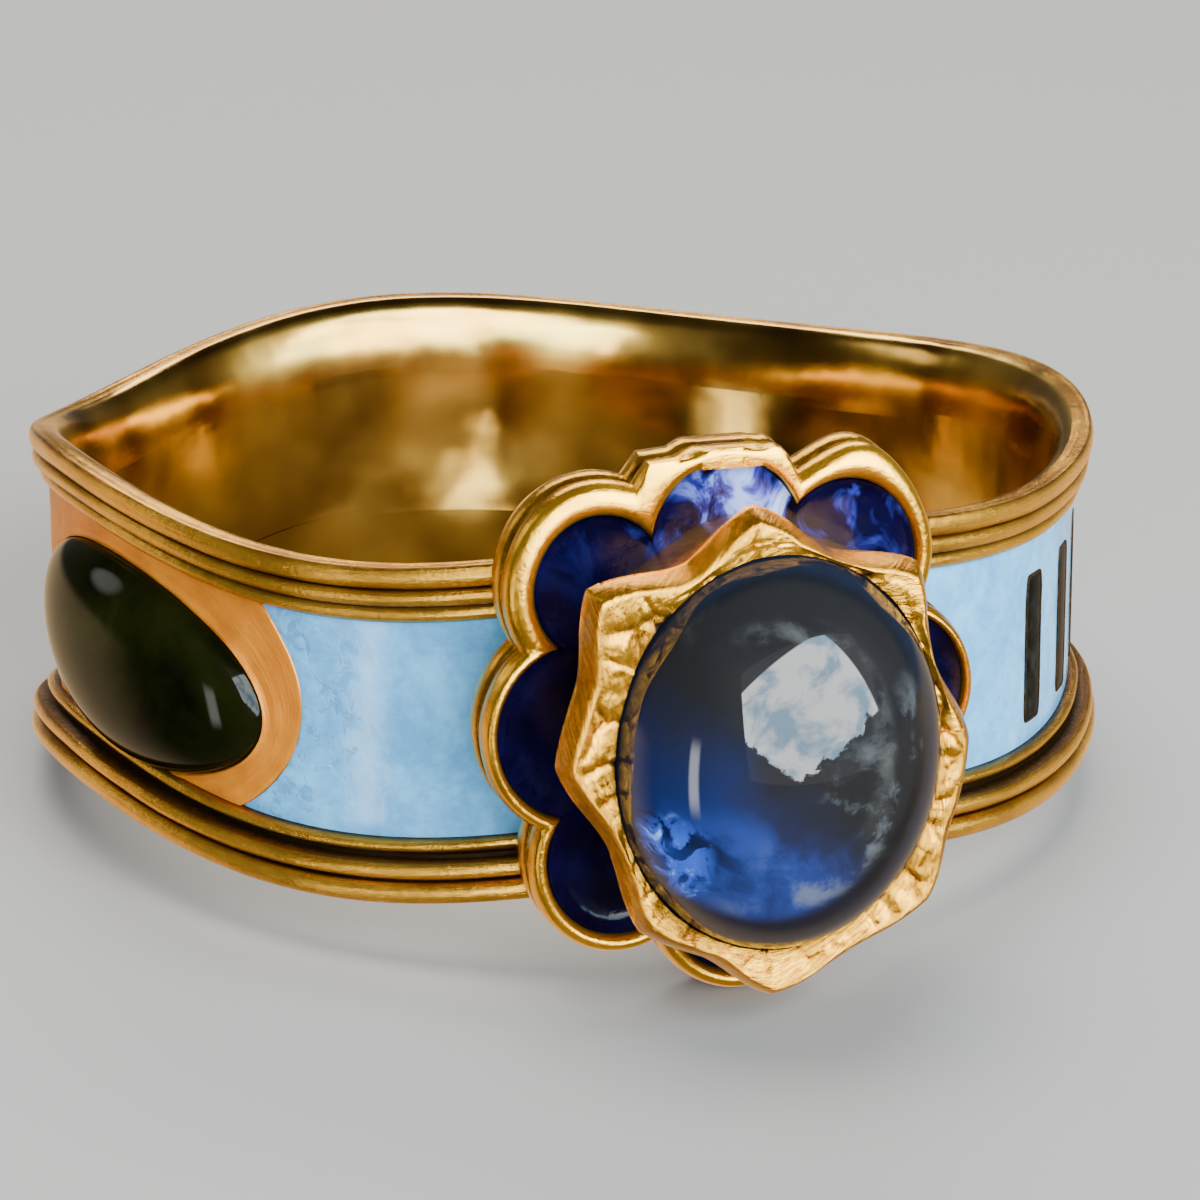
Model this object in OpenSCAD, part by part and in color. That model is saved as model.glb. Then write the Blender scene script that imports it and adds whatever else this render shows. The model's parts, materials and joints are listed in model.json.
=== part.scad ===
// Gold mourning ring. The band is enamelled pale blue between two reeded rims whose edges rise
// and fall in a slow wave. It carries one dark green oval cabochon, a row of upright black bars,
// and a raised eight-lobed head with dark blue enamel round a toothed collar and a sapphire.
//
// Each piece is drawn with the finger hole along Z and the head facing -Y, and is then laid on
// its side, as the ring rests by itself: on the head's lowest lobe and on the two low places of
// the band's edge at the back. A height inside the head is measured outwards from the band's axis.

/* [Band] */
// Diameter of the finger hole
hole_d = 18.5; // [16:0.1:22]
// Height of the band from edge to edge
band_h = 6.0; // [5.6:0.1:8]
// Gold between the finger hole and the enamel
wall_t = 0.3; // [0.25:0.05:0.8]
// How far the lower rim stands out from the enamel
rim_rise = 0.54; // [0.4:0.02:0.9]
// The same for the upper rim, as a share of the lower one
upper_rim = 0.64; // [0.6:0.02:1]
// Height of each reeded rim, from the band's edge to the enamel
rim_h = 1.04; // [0.8:0.02:1.2]
// Size of the rounding inside each edge
comfort = 0.4; // [0.2:0.05:0.5]
// Height of the wave in the two edges
wave_h = 0.28; // [0:0.02:0.4]

/* [Enamel and bars] */
// Thickness of the pale blue enamel
enamel_t = 0.25; // [0.15:0.05:0.4]
// Number of black bars
bars = 5; // [1:1:12]
// Angle from the head's middle to the first bar
bar_from = 46.5; // [40:0.5:60]
// Angle from one bar to the next
bar_step = 10.6; // [8:0.2:14]
// Width of a bar
bar_w = 0.72; // [0.4:0.02:1]
// Height of a bar
bar_h = 2.84; // [1.5:0.02:3.2]
// How far the bars stand below the band's middle
bar_drop = 0.14; // [0:0.02:0.3]

/* [Green cabochon] */
// Angle from the head's middle to the cabochon
green_at = 68.5; // [64:0.5:90]
// Length of the cabochon along the band
green_l = 7.0; // [4:0.1:7.4]
// Height of the cabochon across the band
green_w = 3.66; // [2.5:0.05:3.8]
// How far its dome stands out from the enamel
green_dome = 0.78; // [0.3:0.02:1.2]
// How far it sits below the band's middle
green_drop = 0.15; // [0:0.05:0.4]
// Gold at each end of the cabochon, if it sat in the middle of its oval
reserve_end = 1.32; // [0.3:0.02:1.5]
// Gold above and below the cabochon
reserve_side = 1.4; // [0.3:0.05:1.4]
// How far the middle of the bare gold lies beyond the cabochon's
reserve_aside = 0.6; // [0:0.05:0.6]
// How far the bare gold sits above the band's middle
reserve_rise = 0.15; // [0:0.05:0.3]

/* [Lobed tray] */
// Height of the head's middle above the band's middle
head_rise = 0.45; // [0:0.05:0.6]
// Turn of the head on its post
head_turn = 2.6; // [-6:0.1:6]
// How far the side lobes' middles lie beyond the sapphire's sides
lobe_side = 0.07; // [0.02:0.01:0.2]
// How far the end lobes' middles lie inside the sapphire's ends
lobe_end = 0.24; // [0.1:0.02:0.4]
// Radius of a lobe's enamel as a share of its distance from the head's middle
lobe_size = 0.441; // [0.43:0.001:0.47]
// Width of the tray's wall outside a lobe
tray_wall = 0.3; // [0.24:0.02:0.5]
// How far beyond the sapphire's end the tray's top is worn flat
tray_worn = 1.09; // [1.05:0.01:2]
// Width of the ledge outside the tray's upper bead
tray_ledge = 0.1; // [0.05:0.01:0.12]
// How far the tray's back is let into the rims
tray_sink = 0.25; // [0.2:0.05:0.3]
// Depth of the tray from its back to its bead
tray_d = 1.15; // [0.8:0.05:1.5]
// Thickness of the tray's floor
tray_floor = 0.3; // [0.2:0.05:0.4]
// Depth of the dark blue enamel below the bead
petal_sink = 0.25; // [0.1:0.05:0.4]

/* [Collar and sapphire] */
// Width of the sapphire
sapphire_w = 5.66; // [5:0.02:5.8]
// Height of the sapphire
sapphire_l = 6.86; // [6:0.02:7]
// Depth of the sapphire below its widest place
sapphire_back = 1.3; // [1:0.05:1.4]
// How far it sits to the right of the head's middle
sapphire_aside = 0.2; // [0:0.02:0.2]
// How far it sits below the head's middle
sapphire_drop = 0.2; // [0:0.02:0.2]
// Height of the sapphire's dome
sapphire_dome = 2.4; // [1.5:0.05:3]
// Height of the sapphire's widest place above the tray's bead
sapphire_up = 1.4; // [1.3:0.05:2]
// How far the collar grips up the dome
collar_grip = 0.4; // [0.2:0.05:0.6]
// Reach of the longest teeth beyond the sapphire
tooth = 1.3; // [0.6:0.05:1.3]
// How far the collar's foot draws in under the sapphire
collar_foot = 0.2; // [0:0.02:0.3]

/* [Fit] */
// Clearance between separate pieces
gap = 0.03; // [0.02:0.01:0.05]

/* [Hidden] */

gold = "goldenrod";
// Sections round the band, and round an oval
turn_step = 3.75;
oval_n = 48;
// Overlap of one gold part into the next
bite = 0.08;

// Radii, from the finger hole outwards
hole_r = hole_d / 2;
floor_r = hole_r + wall_t;
field_r = floor_r + enamel_t;
rim_r = field_r + rim_rise;
enamel_half = band_h / 2 - rim_h;

// Clear of everything on the band
out_r = rim_r + rim_h;

// The lobes' distance from the head's middle, their radius, and the tray's height as a share of its width
lobe_at = sapphire_w / 2 + lobe_side;
lobe_r = lobe_size * lobe_at;
tray_tall = (sapphire_l / 2 - lobe_end) / lobe_at;
tray_flat = sapphire_l / 2 + tray_worn;

// Heights in the head
tray_back = rim_r - tray_sink;
tray_bed = tray_back + tray_floor;
bead_top = tray_back + tray_d;
petal_top = bead_top - petal_sink;
girdle = bead_top + sapphire_up;
collar_top = girdle + collar_grip;
apex = girdle + sapphire_dome;

// The wave as a sum: columns are waves in one turn, share of wave_h, angle of a crest from the head
WAVES = [
    [4, 1.00, 6],
    [3, 0.33, 54],
    [5, 0.25, -7],
];
function wave(a) = wave_h * [for (w = WAVES) w[1] * cos(w[0] * (a - 270 - w[2]))] * [for (w = WAVES) 1];

// Slope of the band's middle line at an angle
function slope_at(a) = (wave(a + 1) - wave(a - 1)) / (2 * field_r * PI / 180);

// Reeds from the edge towards the enamel: columns are start and end as shares of rim_h, and
// their lowest and highest places as shares of rim_rise
REEDS = [
    [0.00, 0.36, 0.84, 1.00],
    [0.36, 0.66, 0.72, 0.88],
    [0.82, 1.00, 0.06, 0.30],
];
reed_n = 4;
// Rounding inside an edge: columns are shares of comfort, out from the hole and down from the edge
EDGE = [[1, 0], [0.5, 0.14], [0.15, 0.5], [-0.6, 1.75]];

function reeds(side) = [
    for (w = REEDS) for (i = [0:reed_n])
        [field_r + rim_rise * (side > 0 ? upper_rim : 1) * (w[2] + (w[3] - w[2]) * sin(180 * i / reed_n)),
         side * (band_h / 2 - rim_h * (w[0] + (w[1] - w[0]) * i / reed_n))]];
function edge(side) = [for (e = EDGE) [hole_r + comfort * e[0], side * (band_h / 2 - comfort * e[1])]];
function backwards(list) = [for (i = [len(list) - 1:-1:0]) list[i]];
// Outline of the band's section, before the finger hole is bored
function band_section() = concat(
    backwards(edge(1)), reeds(1),
    [[floor_r, enamel_half], [floor_r, -enamel_half]],
    backwards(reeds(-1)), edge(-1));

// A section of radii and heights, stood up at an angle and lifted by the wave
function stood(section, a) = [for (p = section) [p[0] * cos(a), p[0] * sin(a), p[1] + wave(a)]];
function ring_of(section) = [for (i = [0:360 / turn_step - 1]) stood(section, i * turn_step)];
function arc_of(section, from, to) =
    let (n = ceil((to - from) / turn_step))
    [for (i = [0:n]) stood(section, from + (to - from) * i / n)];
function plate(inner, outer, half) = [[inner, -half], [inner, half], [outer, half], [outer, -half]];

// Skin through rings of points, closed on itself or capped at its two ends
module loft(rings, closed = false) {
    m = len(rings);
    n = len(rings[0]);
    side = [
        for (i = [0:m - (closed ? 1 : 2)]) for (j = [0:n - 1])
            let (i2 = (i + 1) % m, j2 = (j + 1) % n)
            each [[i * n + j, i2 * n + j, i2 * n + j2], [i * n + j, i2 * n + j2, i * n + j2]]];
    caps = closed ? [] : [[for (j = [n - 1:-1:0]) (m - 1) * n + j], [for (j = [0:n - 1]) j]];
    polyhedron([for (r = rings) each r], concat(side, caps), convexity = 8);
}

// Places where X runs along the band, Y across it and Z outwards
module at_field(a) {
    rotate([0, 0, a - 270]) translate([0, 0, wave(a)]) rotate([90, 0, 0]) children();
}
module at_head() {
    translate([0, 0, head_rise]) rotate([90, 0, 0]) children();
}

// An oval, skewed to follow a slope
function oval(rx, ry, slope = 0) =
    [for (i = [0:oval_n - 1]) let (t = 360 * i / oval_n) [rx * cos(t), ry * sin(t) + slope * rx * cos(t)]];
module oval_post(rx, ry, from, to, slope = 0) {
    translate([0, 0, from]) linear_extrude(to - from) polygon(oval(rx, ry, slope));
}

// The hand-made lobes, from the right and upwards: columns are the angle of the lobe's middle, and
// its distance, radius and wall as shares of lobe_at, lobe_r and tray_wall
LOBES = [
    [0, 0.98, 0.98, 0.6],
    [47, 1.035, 0.98, 1.05],
    [90, 0.92, 1.03, 1],
    [135, 1.08, 0.90, 1.25],
    [180, 0.94, 1.10, 0.85],
    [225, 1.04, 0.98, 1],
    [270, 1.02, 1.05, 1],
    [315, 1.03, 1.02, 0.95],
];
lobes = len(LOBES);
function lobe_mid(k) =
    let (w = LOBES[k % lobes], q = w[0] + head_turn) lobe_at * w[1] * [cos(q), sin(q)];
function lobe_reach(k, wall, grow) =
    let (w = LOBES[k % lobes]) lobe_r * w[2] + wall * tray_wall * w[3] + grow;
// Cusp between a lobe and the next, where their two circles cross
function cusp(k, wall, grow) =
    let (a = lobe_mid(k), b = lobe_mid(k + 1), d = norm(b - a), r = lobe_reach(k, wall, grow))
    let (along = (r * r - pow(lobe_reach(k + 1, wall, grow), 2) + d * d) / (2 * d), u = (b - a) / d)
    a + along * u + sqrt(max(0, r * r - along * along)) * [u[1], -u[0]];
// Outline round all lobes, with the given share of each wall, grown and cut off at a height
function lobed(wall, grow = 0, top = 2 * tray_flat) =
    [for (k = [0:lobes - 1])
        let (c = lobe_mid(k), r = lobe_reach(k, wall, grow))
        let (from = cusp(k + lobes - 1, wall, grow) - c, to = cusp(k, wall, grow) - c)
        let (start = atan2(from[1], from[0]), turn = (atan2(to[1], to[0]) - start + 720) % 360)
        for (i = [0:8]) let (t = start + turn * i / 8)
            [c[0] + r * cos(t), min(top, tray_tall * (c[1] + r * sin(t)))]];

// Post under the tray, where the enamel stops
post_rx = lobe_at - tray_wall;
post_ry = enamel_half + bite;
module head_post(grow = 0) {
    at_head() translate([0, -head_rise, 0])
        oval_post(post_rx + grow, post_ry + 2 * grow, hole_r - bite, tray_bed);
}

// The hand-cut teeth, one to a lobe: columns are the reach beyond the sapphire of the tooth, and of
// the dip after it, as shares of tooth
TEETH = [
    [0.48, 0.11],
    [0.59, 0.09],
    [0.62, 0.26],
    [1.00, 0.58],
    [0.70, 0.21],
    [0.48, 0.33],
    [0.72, 0.45],
    [0.69, 0.46],
];
function reach(u) =
    let (k = floor(u), f = u - k, near = f < 0.5 ? k : k + 1, dip = TEETH[k % lobes][1])
    tooth * (dip + (TEETH[near % lobes][0] - dip) * pow(0.5 + 0.5 * cos(360 * f), 1.3));
// Rings of the collar: columns are height as a share from foot to top, and the shares of
// collar_foot and of the teeth that stand outside the sapphire there
COLLAR = [
    [0.00, -1.0, 0.0],
    [0.35, -0.6, 0.06],
    [0.85, 0.0, 0.72],
    [1.00, 0.0, 1.0],
];
collar_n = 8;
collar_low = tray_bed - bite;
function collar_ring(row, grow = 0) =
    [for (i = [0:lobes * collar_n - 1])
        let (q = 360 * i / (lobes * collar_n), m = collar_foot * row[1] + row[2] * reach(i / collar_n) + grow)
        [(sapphire_w / 2 + m) * cos(q + head_turn), (sapphire_l / 2 + m) * sin(q + head_turn),
         collar_low + (collar_top - collar_low) * row[0]]];
module collar_block(grow = 0) {
    translate([sapphire_aside, -sapphire_drop, 0]) loft([for (row = COLLAR) collar_ring(row, grow)]);
}

// Sapphire as rings: its back tapers, its sides stand straight, and its dome is an ellipsoid
dome_n = 8;
SAPPHIRE_BACK = [[-1, 0.86], [-0.7, 0.93], [-0.3, 0.985]];
function sapphire_rings(grow) =
    let (oval_at = function (s, z) [
        for (p = oval(s * sapphire_w / 2 + grow, s * sapphire_l / 2 + grow)) [p[0], p[1], z]])
    concat(
        [for (b = SAPPHIRE_BACK) oval_at(b[1], girdle + b[0] * sapphire_back + grow * b[0])],
        [for (i = [0:dome_n - 1]) let (t = 86 * i / (dome_n - 1))
            oval_at(cos(t), girdle + sapphire_dome * sin(t))]);

module sapphire_block(grow = 0) {
    translate([sapphire_aside, -sapphire_drop, 0]) loft(sapphire_rings(grow));
}
module collar() {
    difference() {
        collar_block();
        sapphire_block(gap);
    }
}

module head() {
    head_post();
    at_head() {
        difference() {
            union() {
                translate([0, 0, tray_back]) linear_extrude(tray_d - 2 * tray_ledge)
                    polygon(lobed(1, 0, tray_flat));
                translate([0, 0, tray_bed - bite]) linear_extrude(bead_top - tray_bed + bite)
                    polygon(lobed(1, -tray_ledge, tray_flat));
            }
            translate([0, 0, tray_bed]) linear_extrude(tray_d) polygon(lobed(0));
        }
        collar();
    }
}

// Oval of bare gold round the green cabochon, and the cabochon's seat in it
green_a = 270 - green_at;
green_slope = slope_at(green_a);
module at_green(aside, rise) {
    at_field(green_a) translate([aside, rise, 0]) children();
}
module green_ring(inner, outer, half) {
    loft(arc_of(plate(inner, outer, half), green_a - 36, green_a + 36));
}
module reserve_post(grow = 0) {
    at_green(-reserve_aside, reserve_rise - reserve_aside * green_slope)
        oval_post(
            green_l / 2 + reserve_end + grow, green_w / 2 + reserve_side + grow,
            hole_r / 2, out_r, green_slope);
}
module reserve() {
    intersection() {
        green_ring(floor_r - bite, field_r, enamel_half + bite);
        reserve_post();
    }
}
module green_seat() {
    intersection() {
        green_ring(floor_r, out_r, band_h / 2);
        at_green(0, -green_drop)
            oval_post(green_l / 2 + gap, green_w / 2 + gap, hole_r / 2, 2 * out_r, green_slope);
    }
}

module band() color(gold) {
    difference() {
        union() {
            loft(ring_of(band_section()), closed = true);
            reserve();
            head();
        }
        cylinder(r = hole_r, h = 2 * band_h, center = true, $fn = 192);
        green_seat();
    }
}

// Pale blue enamel from the head to the reserve, one way round or the other
module enamel(from, to) color("lightsteelblue") {
    difference() {
        loft(arc_of(plate(floor_r + gap, field_r, enamel_half - gap), from, to));
        head_post(gap);
        reserve_post(gap);
        for (k = [1:bars]) bar_block(k, gap, rim_r);
    }
}
module enamel_left() enamel(green_a, 270);
module enamel_right() enamel(270, green_a + 360);

module bar_block(k, grow, top) {
    a = 270 + bar_from + bar_step * (k - 1);
    rotate([0, 0, a])
        translate([floor_r + gap - 2 * grow, -bar_w / 2 - grow, wave(a) - bar_drop - bar_h / 2 - grow])
            cube([top - floor_r - gap + 2 * grow, bar_w + 2 * grow, bar_h + 2 * grow]);
}
module enamel_bar(k) color("black") bar_block(k, 0, field_r);

// The cabochon's back and dome both follow the round of the band
GREEN_RINGS = [0.2, 0.4, 0.6, 0.8, 0.92, 1];
module green_cabochon() color("darkolivegreen") {
    ring = function (s, r, rise) [
        for (p = oval(s * green_l / 2, s * green_w / 2, green_slope))
            [p[0], p[1], sqrt(r * r - p[0] * p[0]) + rise * sqrt(1 - s * s)]];
    at_green(0, -green_drop) loft(concat(
        [for (s = GREEN_RINGS) ring(s, floor_r + gap, 0)],
        [for (s = backwards(GREEN_RINGS)) ring(s, field_r, green_dome)]));
}

module petal_enamel() color("midnightblue") {
    at_head() difference() {
        translate([0, 0, tray_bed + gap]) linear_extrude(petal_top - tray_bed - gap) polygon(lobed(0, -gap));
        collar_block(gap);
    }
}

module sapphire() color("navy") {
    at_head() sapphire_block();
}

// Rest pose: the plane through the back of the lowest lobe and the lowest place on each side of the
// band's back
edge_r = field_r + rim_rise * REEDS[0][2];
function edge_low(a) = [edge_r * cos(a), edge_r * sin(a), wave(a) - band_h / 2];
function lowest(list, score) = [for (i = [0:len(list) - 1]) if (score[i] == min(score)) list[i]][0];
tray_low = [for (p = lobed(1)) [p[0], -tray_back, p[1] + head_rise]];
foot_front = lowest(tray_low, [for (p = tray_low) p[2]]);
right_back = [for (a = [0:1:90]) edge_low(a)];
left_back = [for (a = [90:1:180]) edge_low(a)];
function slope(p) = (p[2] - foot_front[2]) / (p[1] - foot_front[1]);
steepest = min([for (p = concat(right_back, left_back)) slope(p)]);
foot_right = lowest(right_back, [for (p = right_back) p[2] - steepest * p[1]]);
foot_left = lowest(left_back, [for (p = left_back) p[2] - steepest * p[1]]);
up = cross(foot_right - foot_front, foot_left - foot_front);
tip_x = atan2(up[1], up[2]);
tip_y = -atan2(up[0], norm([up[1], up[2]]));

function tipped(p) =
    let (y = p[1] * cos(tip_x) - p[2] * sin(tip_x), z = p[1] * sin(tip_x) + p[2] * cos(tip_x))
    [p[0] * cos(tip_y) + z * sin(tip_y), y, z * cos(tip_y) - p[0] * sin(tip_y)];
front_y = tipped([sapphire_aside, -apex, head_rise - sapphire_drop])[1];
back_y = max([
    for (a = [0:5:180]) for (s = [-1, 1]) tipped([rim_r * cos(a), rim_r * sin(a), s * band_h / 2])[1]]);
rest_shift = [0, -(front_y + back_y) / 2, -tipped(foot_front)[2]];
module laid() {
    translate(rest_shift) rotate([tip_x, tip_y, 0]) children();
}

laid() band();
laid() enamel_left();
laid() enamel_right();
for (k = [1:bars]) laid() enamel_bar(k);
laid() green_cabochon();
laid() petal_enamel();
laid() sapphire();
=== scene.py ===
# A gold ring with pale blue enamel, a green cabochon and a lobed head that holds a sapphire.
# Each piece is drawn in millimetres as the ring is worn, with the finger hole along Z and the head
# facing -Y, and is then laid on its side as the CAD model lies.
import json
import math

import bmesh
import bpy
from mathutils import Matrix, Vector, noise


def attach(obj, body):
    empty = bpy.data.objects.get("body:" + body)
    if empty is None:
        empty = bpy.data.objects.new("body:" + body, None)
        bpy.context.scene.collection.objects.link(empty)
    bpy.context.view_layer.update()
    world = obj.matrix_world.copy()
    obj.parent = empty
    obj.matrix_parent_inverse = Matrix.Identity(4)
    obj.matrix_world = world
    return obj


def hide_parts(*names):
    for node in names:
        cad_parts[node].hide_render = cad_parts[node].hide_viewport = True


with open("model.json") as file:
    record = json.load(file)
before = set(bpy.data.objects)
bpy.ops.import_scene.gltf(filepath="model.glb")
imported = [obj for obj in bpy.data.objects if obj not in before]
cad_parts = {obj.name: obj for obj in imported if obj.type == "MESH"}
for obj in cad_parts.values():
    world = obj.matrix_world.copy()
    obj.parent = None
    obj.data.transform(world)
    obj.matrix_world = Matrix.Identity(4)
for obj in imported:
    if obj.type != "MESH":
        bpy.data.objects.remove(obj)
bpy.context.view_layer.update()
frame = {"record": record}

# The ring lies on its side by itself, head end up. The middle and the direction of its finger
# hole give the place and the tilt at which every piece is laid.
hole = frame["record"]["mounts"][0]
tip_x = -math.asin(hole["axis"][1])
tip_y = math.atan2(hole["axis"][0], hole["axis"][2])
laid = (
    Matrix.Translation(hole["pos_m"])
    @ Matrix.Rotation(tip_y, 4, "Y")
    @ Matrix.Rotation(tip_x, 4, "X")
    @ Matrix.Scale(0.001, 4)
)

# The shank is one strip of gold, bent round and soldered, with a reeded rim along each edge. The
# edges rise and fall in a slow wave. It is made in one skin, with dents and wear in the reeds.
HEAD_A = 270
HOLE_R = 9.25
FLOOR_R = 9.55
FIELD_R = 9.80
HALF_H = 3.0
RIM_H = 1.04
RIM_RISE = 0.54
UPPER_RIM = 0.64
ENAMEL_HALF = HALF_H - RIM_H
# The finger hole's edges are rounded this far outwards and over this height, the worn one further.
COMFORT = 0.4
COMFORT_H = 1.6
COMFORT_WORN = 0.1
WAVE_H = 0.28
# Crests in a turn, share of WAVE_H, and the first crest's angle from the head
WAVES = [(4, 1.00, 6), (3, 0.33, 54), (5, 0.25, -7)]
# Reeds from the edge: start and end as shares of RIM_H, low and high places as shares of RIM_RISE.
# The upper rim is more worn, so its third reed lies closer to the second.
LOWER_REEDS = [(0.0, 0.36, 0.84, 1.0), (0.36, 0.68, 0.72, 0.9), (0.78, 1.0, 0.10, 0.34)]
UPPER_REEDS = [(0.0, 0.37, 0.80, 1.0), (0.40, 0.67, 0.66, 0.86), (0.71, 1.0, 0.12, 0.50)]
# The flat edge ends at this share of the rim's rise, and has a shallow line along it.
EDGE_SHARE = 0.84
EDGE_LINE = 0.035
UPPER_GROOVE = 0.46
LOWER_GROOVE = 0.20
# Steps round the hole's edge, over the flat edge, over each reed, and over the groove
COMFORT_STEPS = 8
EDGE_STEPS = 8
REED_STEPS = (12, 12, 7)
GROOVE_STEPS = 6
INSIDE_STEP = 0.4
TURN_STEP = 0.5


def wave(a):
    """How far the band's middle line rises at an angle."""
    past = a - HEAD_A
    return WAVE_H * sum(share * math.cos(math.radians(n * (past - crest))) for n, share, crest in WAVES)


def slope_at(a):
    """How steeply the middle line rises there."""
    return (wave(a + 1) - wave(a - 1)) / (2 * FIELD_R * math.pi / 180)


def rough(x, y, z, size, seed=0.0):
    """Soft, repeatable unevenness from -1 to 1, with lumps of the given size in millimetres."""
    return noise.noise(Vector((x / size + seed, y / size - seed, z / size + 3 * seed)))


def stood(r, a, z):
    """The place at radius r, angle a and height z above the band's wavy middle line."""
    t = math.radians(a)
    return (r * math.cos(t), r * math.sin(t), z + wave(a))


def skin(name, rings, finish, closed=False, wear_and_light_rows=None):
    """A smooth piece through rings of points, laid on its side.

    Each point's wear may be given, and on some pieces it also carries painted light or shade. The piece
    also keeps how far each point is along and round it, for marks that were drawn out along the work.
    """
    m, n = len(rings), len(rings[0])
    points = [p for ring in rings for p in ring]
    faces = []
    for i in range(m if closed else m - 1):
        on = (i + 1) % m
        for j in range(n):
            after = (j + 1) % n
            faces.append((i * n + j, on * n + j, on * n + after, i * n + after))
    if not closed:
        faces.append(tuple(range(n)))
        faces.append(tuple((m - 1) * n + j for j in reversed(range(n))))
    mesh = bpy.data.meshes.new(name)
    mesh.from_pydata(points, [], faces)
    if wear_and_light_rows:
        wear = mesh.attributes.new("wear", "FLOAT", "POINT")
        wear.data.foreach_set("value", [w for row in wear_and_light_rows for w in row])
    steps = [0.0]
    for i in range(1, m):
        steps.append(steps[-1] + (Vector(rings[i][0]) - Vector(rings[i - 1][0])).length)
    run = mesh.attributes.new("run", "FLOAT_VECTOR", "POINT")
    places = []
    for i in range(m):
        there = 0.0
        for j in range(n):
            if j:
                there += (Vector(rings[i][j]) - Vector(rings[i][j - 1])).length
            places += [steps[i], there, 0.0]
    run.data.foreach_set("vector", places)
    mesh.transform(laid)
    tidy = bmesh.new()
    tidy.from_mesh(mesh)
    bmesh.ops.recalc_face_normals(tidy, faces=tidy.faces)
    tidy.to_mesh(mesh)
    tidy.free()
    mesh.polygons.foreach_set("use_smooth", [True] * len(mesh.polygons))
    mesh.set_sharp_from_angle(angle=math.radians(50))
    mesh.update()
    piece = bpy.data.objects.new(name, mesh)
    bpy.context.scene.collection.objects.link(piece)
    mesh.materials.append(finish)
    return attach(piece, "root")


class Worked:
    """A value in a material's nodes, which +, - and * work on."""

    def __init__(self, tree, socket=None):
        self.tree = tree
        self.socket = socket

    def node(self, kind, settings=None, sockets=None, out=0):
        """Add a node of a kind with its settings, and give its sockets values or links."""
        made = self.tree.nodes.new("ShaderNode" + kind)
        for name, value in (settings or {}).items():
            if name == "stops":
                ramp = made.color_ramp
                while len(ramp.elements) < len(value):
                    ramp.elements.new(0.5)
                for stop, (place, colour) in zip(ramp.elements, value):
                    stop.position = place
                    stop.color = (*colour, 1)
            else:
                setattr(made, name, value)
        for name, value in (sockets or {}).items():
            if isinstance(value, Worked):
                self.tree.links.new(value.socket, made.inputs[name])
            else:
                made.inputs[name].default_value = value
        return Worked(self.tree, made.outputs[out])

    def sum_of(self, operation, a, b):
        """The value that one sum gives."""
        return self.node("Math", {"operation": operation}, {0: a, 1: b})

    def __add__(self, other):
        return self.sum_of("ADD", self, other)

    def __sub__(self, other):
        return self.sum_of("SUBTRACT", self, other)

    def __rsub__(self, other):
        return self.sum_of("SUBTRACT", other, self)

    def __mul__(self, other):
        return self.sum_of("MULTIPLY", self, other)

    def between(self, low, high):
        """How far the value is from low to high, kept from 0 to 1 and eased at both ends."""
        return self.node("MapRange", {"interpolation_type": "SMOOTHSTEP"}, {0: self, 1: low, 2: high})

    def blend(self, a, b):
        """From colour a to colour b, by this value."""
        return self.node("Mix", {"data_type": "RGBA"}, {0: self, 6: a, 7: b}, out=2)


def begin(name, **constants):
    """A new finish: its material, its shader, and a first value to work from."""
    finish = bpy.data.materials.new(name)
    finish.use_nodes = True
    shader = finish.node_tree.nodes["Principled BSDF"]
    for socket, value in constants.items():
        shader.inputs[socket.replace("_", " ")].default_value = value
    return finish, shader, Worked(finish.node_tree)


def feed(finish, shader, **links):
    """Link values to the shader's sockets."""
    for socket, value in links.items():
        finish.node_tree.links.new(value.socket, shader.inputs[socket.replace("_", " ")])


def in_mm(first, middle=(0, 0, 0)):
    """The place on the piece in millimetres, from a middle given in metres."""
    place = first.node("TexCoord", out=3)
    return place.node("Mapping", {}, {0: place, 1: tuple(-1000 * v for v in middle), 3: (1000, 1000, 1000)})


def mottled(spot, scale, detail, fineness=0.5, swirl=0.0):
    """Soft clouds, so many to a millimetre, with more of the small ones as the fineness grows."""
    return spot.node("TexNoise", {}, {
        0: spot, "Scale": scale, "Detail": detail, "Roughness": fineness, "Distortion": swirl})


def parts_of(value):
    """The X, Y and Z of a place or a direction."""
    split = value.node("SeparateXYZ", {}, {0: value})
    return [Worked(split.tree, socket) for socket in split.socket.node.outputs]


# Dark patina in hollows; the same colour also paints shade where a piece is marked dark for it.
DIRT_AND_SHADE = (0.022, 0.010, 0.002, 1)


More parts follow.
